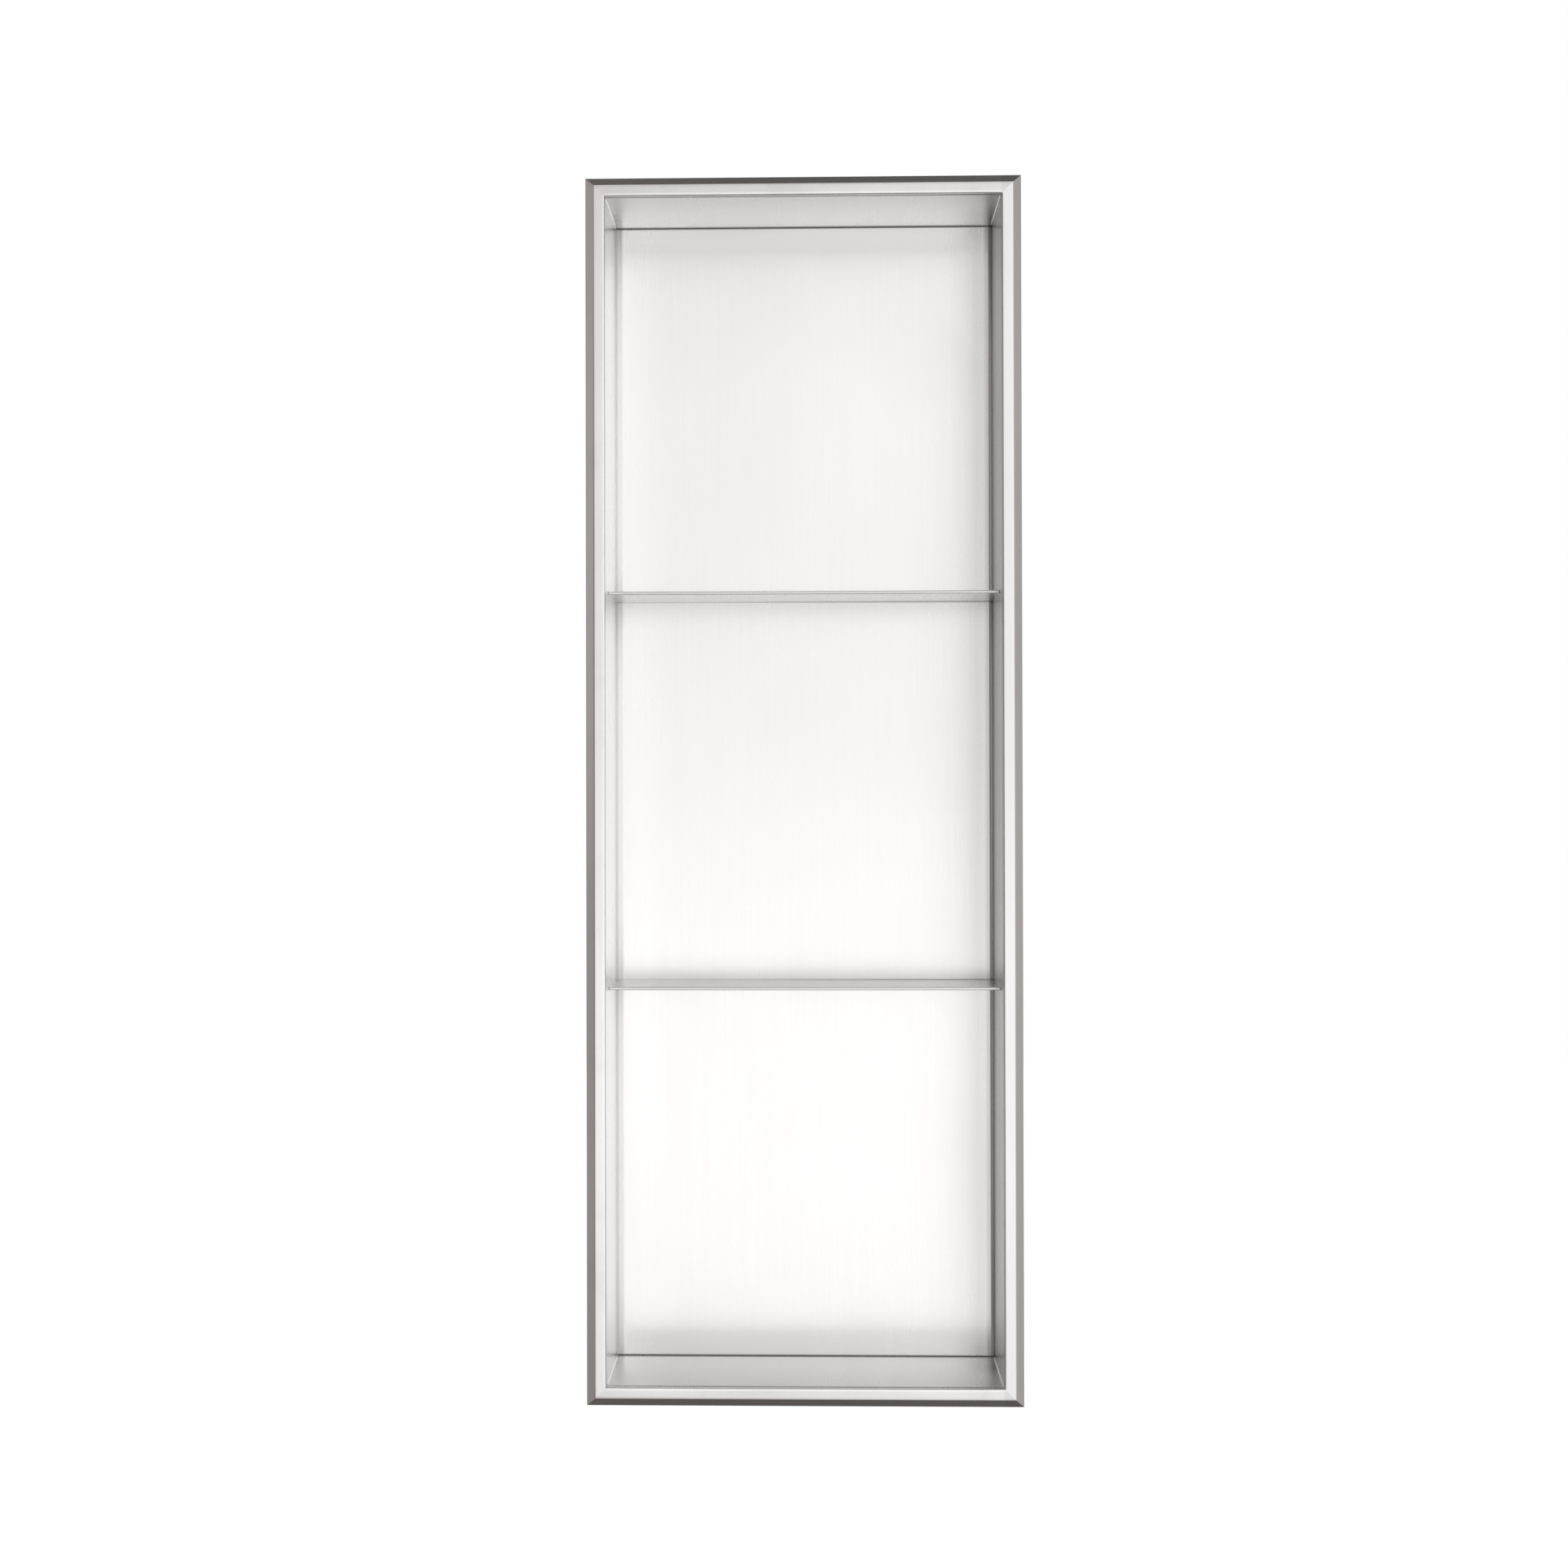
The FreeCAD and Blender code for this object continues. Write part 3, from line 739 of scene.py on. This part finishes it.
def body_mesh(name, sizes, materials):
    """Folded body: flanges mitred, walls and back slightly bowed between the shelves."""
    bend_end = sizes.front_bend - FLANGE_FRONT
    back = BACK_OUTSIDE - sizes.box_sheet

    def place(step, point):
        x, y = point
        reach = HALF_HEIGHT + sizes.end_overhang
        if y < bend_end:
            reach = HALF_HEIGHT + max(0.0, abs(x) - HALF_WIDTH)
        z = step * reach
        bay = abs(math.cos(1.5 * math.pi * z / HALF_HEIGHT))
        spot = Vector((x, y, z))
        on_back = max(0.0, 1 - abs(x) / HALF_WIDTH) * (y > back - sizes.rear_bend)
        y -= bay * on_back * (sizes.bow + stray(spot, 120 * MM, sizes.bow, sizes.seed))
        on_wall = math.sin(math.pi * min(1.0, max(0.0, y / back))) * (abs(x) > HALF_WIDTH - MM)
        x -= math.copysign(bay * on_wall * stray(spot, 150 * MM, 0.3 * sizes.bow, sizes.seed), x)
        return Vector((x, y, z))

    return sheet_mesh(name, body_pairs(sizes), spread(-1, 1, BODY_STEPS), place, materials)


class NICHE_OT_body(bpy.types.Operator):
    """Fold the body: both walls, the back and their front flanges, from one sheet"""
    bl_idname = "niche.body"
    bl_label = "Body Sheet"

    def execute(self, context):
        scene = context.scene
        mesh = body_mesh("body_sheet", scene.niche_sizes, box_materials(scene.niche_finishes))
        bring_in("body_sheet", mesh, "box_steel", "body_wrap")
        return {"FINISHED"}


def rounded_reach(y, rear, radius):
    """Half width between the walls, drawn in where the rear bends start."""
    into = y - (rear - radius)
    if into <= 0:
        return HALF_WIDTH
    return HALF_WIDTH - radius + math.sqrt(max(0.0, radius ** 2 - into ** 2))


def end_plate_mesh(name, sizes, materials, side):
    """Top or bottom plate with its mitred front flange and rounded rear corners."""
    corners = (
        (FLANGE_WIDTH, FLANGE_FRONT, 0.0),
        (0.0, FLANGE_FRONT, sizes.front_bend),
        (0.0, -END_PLATE_REAR, 0.0),
    )
    pairs = bent_sheet(corners, sizes.box_sheet, 1, 1.5 * MM)
    bend_end = sizes.front_bend - FLANGE_FRONT

    def place(step, point):
        outward, forward = point
        reach = rounded_reach(-forward, END_PLATE_REAR, sizes.rear_bend)
        if -forward < bend_end:
            reach = HALF_WIDTH + max(0.0, outward)
        return Vector((step * reach, -forward, side * (HALF_HEIGHT + outward)))

    mesh = sheet_mesh(name, pairs, spread(-1, 1, PLATE_STEPS), place, materials)
    set_grain_direction(mesh)
    return mesh


class NICHE_OT_end_plates(bpy.types.Operator):
    """Fold the top and bottom plates of the box"""
    bl_idname = "niche.end_plates"
    bl_label = "End Plates"

    def execute(self, context):
        sizes, finishes = context.scene.niche_sizes, context.scene.niche_finishes
        steel = brushed_steel("plate_brushed_inside", finishes, finishes.plate_steel,
                              finishes.inside_roughness, (1, 0, 1), (0, 1, 0), level=True)
        materials = [steel, box_materials(finishes)[1]]
        for end, side in (("top", TOP), ("bottom", BOTTOM)):
            name = "end_plate_" + end
            mesh = end_plate_mesh(name, sizes, materials, side)
            bring_in(name, mesh, "box_steel", end + "_plate")
        return {"FINISHED"}


# ---------- shelves

def shelf_pairs(sizes, rear):
    """(top, bottom) pairs from the rounded nose back to the rear edge."""
    radius = sizes.nose_radius
    half = SHELF_THICK / 2
    nose = [(SHELF_FRONT + radius * (1 - math.cos(a)), half - radius + radius * math.sin(a))
            for a in spread(0, math.pi / 2, ARC_STEPS)]
    flat = [(y, half) for y in spread(SHELF_FRONT + radius, rear, SHELF_ROWS)[1:]]
    return [(Vector((y, height)), Vector((y, -height))) for y, height in nose + flat]


def shelf_mesh(name, sizes, material, level):
    """Flat shelf: rounded nose, eased front corners, rear corners that clear the bends."""
    rear = BACK_OUTSIDE - sizes.box_sheet - 0.3 * MM

    def place(step, point):
        y, height = point
        reach = rounded_reach(y, rear, sizes.rear_bend)
        into = sizes.shelf_corner - (y - SHELF_FRONT)
        if into > 0:
            eased = sizes.shelf_corner - math.sqrt(sizes.shelf_corner ** 2 - into ** 2)
            reach = HALF_WIDTH - eased
        x = step * reach
        free = math.cos(math.pi * x / (2 * HALF_WIDTH))
        nick = stray(Vector((x, 0.0, level)), 3 * MM, 0.05 * MM, sizes.seed) * (into > 0)
        sag = 0.12 * MM * free * max(0.0, 1 - (y - SHELF_FRONT) / (70 * MM))
        return Vector((x, y + abs(nick), level + height - sag))

    steps = spread(-1, 1, SHELF_STEPS)
    mesh = sheet_mesh(name, shelf_pairs(sizes, rear), steps, place, [material])
    set_grain_direction(mesh)
    return mesh


class NICHE_OT_shelves(bpy.types.Operator):
    """Make the two full-width shelves"""
    bl_idname = "niche.shelves"
    bl_label = "Shelves"

    def execute(self, context):
        sizes, finishes = context.scene.niche_sizes, context.scene.niche_finishes
        steel = brushed_steel("shelf_brushed_steel", finishes, finishes.shelf_steel,
                              finishes.inside_roughness, (1, 0, 1), (0, 1, 0), level=True)
        for name in ("upper_shelf", "lower_shelf"):
            low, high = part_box(name)
            mesh = shelf_mesh(name + "_plate", sizes, steel, (low.z + high.z) / 2)
            bring_in(name + "_plate", mesh, "shelf_steel", name)
        return {"FINISHED"}


# ---------- welds

def bead_tree():
    """Geometry nodes that run a rippled weld bead along every line of a mesh."""
    tree = bpy.data.node_groups.new("Weld Bead", "GeometryNodeTree")
    face = tree.interface
    face.new_socket("Geometry", in_out="INPUT", socket_type="NodeSocketGeometry")
    for name, kind in (("Half Width", "Float"), ("Half Height", "Float"),
                       ("Ripple Pitch", "Float"), ("Ripple Depth", "Float"),
                       ("Crescent", "Float"), ("Unevenness", "Float"),
                       ("Seed", "Int"), ("Metal", "Material")):
        face.new_socket(name, in_out="INPUT", socket_type="NodeSocket" + kind)
    face.new_socket("Geometry", in_out="OUTPUT", socket_type="NodeSocketGeometry")
    graph = Graph(tree)
    given = graph.add("NodeGroupInput")
    pitch = given.output("Ripple Pitch")
    line = graph.add("GeometryNodeMeshToCurve", None, {"Mesh": given.output("Geometry")})
    line = graph.add("GeometryNodeResampleCurve", {"mode": "LENGTH"},
                     {"Curve": line, "Length": pitch / BEAD_RINGS})
    line = graph.add("GeometryNodeSetCurveNormal", {"mode": "Z_UP"}, {"Curve": line})
    passed = graph.add("GeometryNodeSplineParameter").output("Length")
    line = graph.add("GeometryNodeCaptureAttribute", {"captures": "Passed"},
                     {"Geometry": line, "Passed": passed})
    along = line.output("Passed")
    ring = graph.add("GeometryNodeCurvePrimitiveCircle", {"mode": "RADIUS"},
                     {"Resolution": BEAD_SIDES, "Radius": 1.0})
    ring = graph.add("GeometryNodeCaptureAttribute", {"captures": "Round"},
                     {"Geometry": ring,
                      "Round": graph.add("GeometryNodeSplineParameter").output("Factor")})
    turn = ring.output("Round") * math.tau
    size = graph.add("ShaderNodeCombineXYZ", None,
                     {"X": given.output("Half Height"), "Y": given.output("Half Width"),
                      "Z": 1.0})
    ring = graph.add("GeometryNodeTransform", None, {"Geometry": ring, "Scale": size})
    rod = graph.add("GeometryNodeCurveToMesh", None,
                    {"Curve": line, "Profile Curve": ring, "Fill Caps": True})
    where = graph.add("GeometryNodeInputPosition")
    wander = graph.add("ShaderNodeTexNoise", {"noise_dimensions": "4D"},
                       {"Vector": where, "W": given.output("Seed") * 1.37,
                        "Scale": 260.0, "Detail": 1.0}) - 0.5
    phase = (along - given.output("Crescent") * turn.maths("COSINE")) / pitch + wander
    ripple = (phase * math.tau).maths("SINE")
    height = ripple * given.output("Ripple Depth") + wander * given.output("Unevenness")
    lift = graph.add("ShaderNodeVectorMath", {"operation": "SCALE"},
                     {"Vector": graph.add("GeometryNodeInputNormal"), "Scale": height})
    rod = graph.add("GeometryNodeSetPosition", None, {"Geometry": rod, "Offset": lift})
    rod = graph.add("GeometryNodeSetShadeSmooth", None, {"Geometry": rod})
    rod = graph.add("GeometryNodeRealizeInstances", None, {"Geometry": rod})
    rod = graph.add("GeometryNodeSetMaterial", None,
                    {"Geometry": rod, "Material": given.output("Metal")})
    graph.add("NodeGroupOutput", None, {"Geometry": rod})
    return tree


BEAD_RINGS = 5    # rings of points for each ripple
BEAD_SIDES = 12


def bead(name, lines, values, slot, *nodes):
    """Makes a piece with a weld bead along each open line of points."""
    tree = bpy.data.node_groups.get("Weld Bead") or bead_tree()
    path = bpy.data.meshes.new(name)
    points = [point for line in lines for point in line]
    edges = []
    first = 0
    for line in lines:
        edges += [(first + i, first + i + 1) for i in range(len(line) - 1)]
        first += len(line)
    path.from_pydata(points, edges, [])
    piece = bpy.data.objects.new(name, path)
    bpy.context.scene.collection.objects.link(piece)
    modifier = piece.modifiers.new("Weld Bead", "NODES")
    modifier.node_group = tree
    for item in tree.interface.items_tree:
        if item.in_out == "INPUT" and item.name in values:
            modifier[item.identifier] = values[item.name]
    depsgraph = bpy.context.evaluated_depsgraph_get()
    mesh = bpy.data.meshes.new_from_object(piece.evaluated_get(depsgraph))
    piece.modifiers.remove(modifier)
    piece.data = mesh
    bpy.data.meshes.remove(path)
    settle(piece, slot, *nodes)


def bead_values(sizes, metal, radius, height=None, ripple=0.07 * MM, uneven=0.12 * MM):
    """The bead tree's inputs for one kind of weld."""
    return {
        "Half Width": radius, "Half Height": height or radius,
        "Ripple Pitch": sizes.ripple_pitch, "Ripple Depth": ripple,
        "Crescent": 0.4 * radius, "Unevenness": uneven,
        "Seed": sizes.seed, "Metal": metal,
    }


class NICHE_OT_corner_seams(bpy.types.Operator):
    """Run the four thin polished seams along the inside corners"""
    bl_idname = "niche.corner_seams"
    bl_label = "Corner Seams"

    def execute(self, context):
        sizes = context.scene.niche_sizes
        metal = weld_metal("seam_metal", context.scene.niche_finishes, 0.0, 0.24)
        values = bead_values(sizes, metal, sizes.seam_radius, ripple=0.02 * MM, uneven=0.1 * MM)
        inset = 0.3 * MM
        for end, side_z in (("top", TOP), ("bottom", BOTTOM)):
            for side, side_x in (("left", LEFT), ("right", RIGHT)):
                node = "corner_seam_" + end + "_" + side
                low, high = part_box(node)
                line = [(side_x * (HALF_WIDTH - inset), y, side_z * (HALF_HEIGHT - inset))
                        for y in (low.y + MM, high.y)]
                bead("seam_" + end + "_" + side, [line], values, "polished_weld", node)
        return {"FINISHED"}


class NICHE_OT_plate_welds(bpy.types.Operator):
    """Run the outside fillet welds round the end plates"""
    bl_idname = "niche.plate_welds"
    bl_label = "End Plate Welds"

    def execute(self, context):
        sizes = context.scene.niche_sizes
        metal = weld_metal("bead_metal", context.scene.niche_finishes, 0.8, 0.32)
        values = bead_values(sizes, metal, sizes.bead_radius)
        inset = 0.6 * MM
        radius = sizes.rear_bend - inset
        width = HALF_WIDTH - inset
        rear = BACK_OUTSIDE - sizes.box_sheet - inset
        corners = ((-width, MM, 0.0), (-width, rear, radius), (width, rear, radius),
                   (width, MM, 0.0))
        plan = [pair[0] for pair in bent_sheet(corners, 0.0, 1, 20 * MM)]
        for end, side in (("top", TOP), ("bottom", BOTTOM)):
            level = side * (HALF_HEIGHT + sizes.box_sheet + inset)
            line = [(x, y, level) for x, y in plan]
            bead("plate_weld_" + end, [line], values, "raw_weld", end + "_plate_weld")
        return {"FINISHED"}


class NICHE_OT_plug_welds(bpy.types.Operator):
    """Fill the mouths of the shelf tabs' slots, on the back and on both walls"""
    bl_idname = "niche.plug_welds"
    bl_label = "Plug Welds"

    def execute(self, context):
        sizes = context.scene.niche_sizes
        metal = bpy.data.materials["bead_metal"]
        values = bead_values(sizes, metal, 2.7 * MM, 0.42 * MM, 0.05 * MM, 0.05 * MM)
        wall = HALF_WIDTH + sizes.box_sheet
        for name in ("upper_shelf", "lower_shelf"):
            low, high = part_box(name)
            z = (low.z + high.z) / 2
            lines = [[(middle - TAB_HALF_BACK, BACK_OUTSIDE, z),
                      (middle + TAB_HALF_BACK, BACK_OUTSIDE, z)]
                     for middle in (-TAB_PITCH, 0.0, TAB_PITCH)]
            lines += [[(side * wall, TAB_WALL_PLACE - TAB_HALF_WALL, z),
                       (side * wall, TAB_WALL_PLACE + TAB_HALF_WALL, z)]
                      for side in (LEFT, RIGHT)]
            bead(name + "_plugs", lines, values, "raw_weld", name + "_tab_welds")
        return {"FINISHED"}


class NICHE_OT_frame_welds(bpy.types.Operator):
    """Weld the mitres from behind, and tack the frame to the box flange"""
    bl_idname = "niche.frame_welds"
    bl_label = "Frame Welds"

    def execute(self, context):
        sizes = context.scene.niche_sizes
        metal = bpy.data.materials["bead_metal"]
        behind = -(RAIL_PROUD - sizes.rail_sheet)
        diagonals = [[(sx * (HALF_WIDTH + u), behind, sz * (HALF_HEIGHT + u))
                      for u in (1.8 * MM, 6.8 * MM)]
                     for sx in (LEFT, RIGHT) for sz in (BOTTOM, TOP)]
        nub = 0.6 * MM
        front = nub - RAIL_PROUD + 0.12 * MM
        diagonals += [[(sx * (HALF_WIDTH + u), front, sz * (HALF_HEIGHT + u))
                       for u in (0.3 * MM, 1.6 * MM)]
                      for sx in (LEFT, RIGHT) for sz in (BOTTOM, TOP)]
        values = bead_values(sizes, metal, nub, ripple=0.02 * MM, uneven=0.06 * MM)
        bead("mitre_beads", diagonals, values, "raw_weld", "frame_mitre_welds")
        tacks = []
        for _side, turn, half_length, half_distance in SIDES:
            places = spread(-380 * MM, 380 * MM, 5)
            if half_length == HALF_WIDTH:
                places = spread(-TAB_PITCH, TAB_PITCH, 3)
            for place in places:
                corner = (-FLANGE_FRONT - 0.4 * MM, half_distance + 2.3 * MM)
                tacks.append([around((place + end, *corner), turn)
                              for end in (-3.2 * MM, 3.2 * MM)])
        bead("frame_tacks", tacks, bead_values(sizes, metal, 1.3 * MM),
             "raw_weld", "frame_tack_welds")
        return {"FINISHED"}


# ---------- gaskets

class NICHE_OT_gaskets(bpy.types.Operator):
    """Lay the four foam strips behind the box flange"""
    bl_idname = "niche.gaskets"
    bl_label = "Gaskets"

    def execute(self, context):
        sizes = context.scene.niche_sizes
        foam = gasket_foam("closed_cell_foam", context.scene.niche_finishes)
        for side, turn, _half_length, half_distance in SIDES:
            low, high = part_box("gasket_" + side)
            half = max(high.x - low.x, high.z - low.z) / 2
            near = FLANGE_WIDTH - min(high.x - low.x, high.z - low.z)
            mesh = strip_mesh("foam_" + side, foam, sizes.seed, turn, half,
                              half_distance + near, half_distance + FLANGE_WIDTH, -low.y)
            bring_in(mesh.name, mesh, "gasket_foam", "gasket_" + side)
        return {"FINISHED"}


def strip_mesh(name, foam, seed, turn, half, inner, outer, depth):
    """Squeezed foam strip whose free edges bulge and wander a little."""
    edge = 0.35 * MM
    middle = (inner + outer) / 2
    width = (outer - inner) / 2
    pairs = []
    for across in spread(-1, 1, 13):
        pinch = edge * max(0.0, abs(across) - 0.8) / 0.2
        pairs.append((Vector((across, depth - pinch)), Vector((across, pinch))))

    def place(step, point):
        across, forward = point
        along = step * half
        bed = Vector((along, 5.0 * across, turn))
        drawn = width - 0.2 * MM - abs(stray(bed, 9 * MM, 0.3 * MM, seed))
        return around((along, -forward, middle + across * drawn), turn)

    count = round(2 * half / FOAM_SPACING)
    return sheet_mesh(name, pairs, spread(-1, 1, count), place, [foam])


# ---------- stage

WARM = (1.08, 0.98, 0.92)    # tint of the weak light
AZIMUTHS = (-180, -90, -50, -22, -6, 6, 22, 50, 90, 180)    # 0 is the camera's side, 90 is +X
SOFT_LIGHT = (    # elevation, then a level per azimuth
    (90, (0.09,) * len(AZIMUTHS)),
    (50, (0.10, 0.36, 0.92, 0.97, 0.73, 0.87, 1.18, 0.96, 0.26, 0.10)),
    (22, (0.35, 0.23, 0.60, 0.53, 0.29, 0.86, 1.36, 1.03, 0.25, 0.35)),
    (12, (0.50, 0.45, 0.19, 0.56, 1.35, 1.56, 1.61, 1.24, 0.47, 0.50)),
    (4, (0.55, 0.50, 0.05, 0.36, 1.34, 1.04, 1.48, 1.38, 0.38, 0.55)),
    (-4, (0.55, 0.34, 0.05, 0.61, 1.69, 1.36, 1.71, 1.36, 0.44, 0.55)),
    (-12, (0.55, 0.38, 0.20, 0.78, 1.71, 1.46, 1.59, 1.08, 0.46, 0.55)),
    (-22, (0.45, 0.16, 0.18, 0.29, 0.74, 1.00, 1.00, 0.68, 0.39, 0.45)),
    (-45, (0.20, 0.34, 0.36, 0.36, 0.54, 0.78, 0.81, 0.58, 0.45, 0.20)),
    (-90, (0.05,) * len(AZIMUTHS)),
)

FLOOR_REACH, FLOOR_DROP = 8.0, 0.7
CAMERA_LENS, SENSOR_WIDTH = 51.65, 36.0
CAMERA_SHIFT = (0.0189, -0.0017)
CAMERA_PLACE = (0.005, -1.7303, -0.0053)
CAMERA_TURN = (90.408, 0.111, 1.427)    # degrees


def studio_world():
    """Soft light all round, set by the table above; the camera itself sees plain white."""
    world = bpy.data.worlds.new("soft_studio")
    world.use_nodes = True
    graph = Graph(world.node_tree)
    way = graph.add("ShaderNodeTexCoord").output("Generated")
    x, y, z = axes(graph, way)
    azimuth = x.maths("ARCTAN2", 0 - y) / math.tau + 0.5
    elevation = z.maths("ARCSINE") / math.pi + 0.5
    brightest = max(max(levels) for _elevation, levels in SOFT_LIGHT)
    bands = [(degrees + 90) / 180 for degrees, _levels in reversed(SOFT_LIGHT)]
    total = 0.0
    for index, (_elevation, levels) in enumerate(reversed(SOFT_LIGHT)):
        stops = [((degrees + 180) / 360, level / brightest)
                 for degrees, level in zip(AZIMUTHS, levels)]
        row = graph.add("ShaderNodeValToRGB", {"stops": stops}, {"Fac": azimuth})
        tent = [(bands[index], 1.0)]
        if index > 0:
            tent.insert(0, (bands[index - 1], 0.0))
        if index + 1 < len(bands):
            tent.append((bands[index + 1], 0.0))
        share = graph.add("ShaderNodeValToRGB", {"stops": tent}, {"Fac": elevation})
        total = row * share + total
    seen = graph.add("ShaderNodeLightPath").output("Is Camera Ray")
    level = total * brightest
    tint = graph.mix(level.smooth(0.15, 1.1), WARM, (1.0, 1.0, 1.0))
    light = graph.add("ShaderNodeVectorMath", {"operation": "SCALE"},
                      {"Vector": tint, "Scale": level})
    shown = graph.mix(seen, light, (1.0, 1.0, 1.0))
    back = graph.add("ShaderNodeBackground", None, {"Color": shown, "Strength": 1.0})
    graph.add("ShaderNodeOutputWorld", None, {"Surface": back})
    return world


class NICHE_OT_stage(bpy.types.Operator):
    """Lay the floor, set the soft light and place the camera"""
    bl_idname = "niche.stage"
    bl_label = "Stage"

    def execute(self, context):
        scene = context.scene
        scene.world = studio_world()
        self.lay_floor(scene)
        self.place_camera(scene)
        scene.view_settings.view_transform = "Standard"
        scene.view_settings.look = "None"
        return {"FINISHED"}

    def lay_floor(self, scene):
        """A wide pale floor well below the wall-hung niche."""
        reach = FLOOR_REACH
        drop = cad_bounds[0].z - FLOOR_DROP
        mesh = bpy.data.meshes.new("floor")
        corners = [(-reach, -reach, drop), (reach, -reach, drop), (reach, reach, drop),
                   (-reach, reach, drop)]
        mesh.from_pydata(corners, [], [(0, 1, 2, 3)])
        mesh.materials.append(studio_floor("studio_floor", scene.niche_finishes))
        floor = bpy.data.objects.new("floor", mesh)
        scene.collection.objects.link(floor)
        floor.visible_glossy = False

    def place_camera(self, scene):
        """Almost in front of the niche's middle, with a slightly shifted lens."""
        data = bpy.data.cameras.new("front_camera")
        data.lens = CAMERA_LENS
        data.sensor_width = SENSOR_WIDTH
        data.shift_x, data.shift_y = CAMERA_SHIFT
        data.clip_start = 0.01
        data.clip_end = 100.0
        camera = bpy.data.objects.new("front_camera", data)
        scene.collection.objects.link(camera)
        camera.location = CAMERA_PLACE
        camera.rotation_euler = [math.radians(degrees) for degrees in CAMERA_TURN]
        scene.camera = camera


# ---------- panel

STEPS = ("stage", "face_frame", "body", "end_plates", "shelves", "corner_seams",
         "plate_welds", "plug_welds", "frame_welds", "gaskets")


class NICHE_PT_panel(bpy.types.Panel):
    """Lists the niche's building steps"""
    bl_idname = "NICHE_PT_panel"
    bl_label = "Wall Niche"
    bl_space_type = "VIEW_3D"
    bl_region_type = "UI"
    bl_category = "Niche"

    def draw(self, context):
        layout = self.layout
        for name in STEPS:
            layout.operator("niche." + name)
        for group in (context.scene.niche_sizes, context.scene.niche_finishes):
            column = layout.column()
            for name in group.__annotations__:
                column.prop(group, name)


CLASSES = (
    NicheSizes, NicheFinishes, NICHE_OT_stage, NICHE_OT_face_frame, NICHE_OT_body,
    NICHE_OT_end_plates, NICHE_OT_shelves, NICHE_OT_corner_seams, NICHE_OT_plate_welds,
    NICHE_OT_plug_welds, NICHE_OT_frame_welds, NICHE_OT_gaskets, NICHE_PT_panel,
)


def register():
    for cls in CLASSES:
        bpy.utils.register_class(cls)
    bpy.types.Scene.niche_sizes = PointerProperty(type=NicheSizes)
    bpy.types.Scene.niche_finishes = PointerProperty(type=NicheFinishes)


def unregister():
    del bpy.types.Scene.niche_finishes
    del bpy.types.Scene.niche_sizes
    for cls in reversed(CLASSES):
        bpy.utils.unregister_class(cls)


def main():
    register()
    for name in STEPS:
        getattr(bpy.ops.niche, name)()


if __name__ == "__main__":
    main()
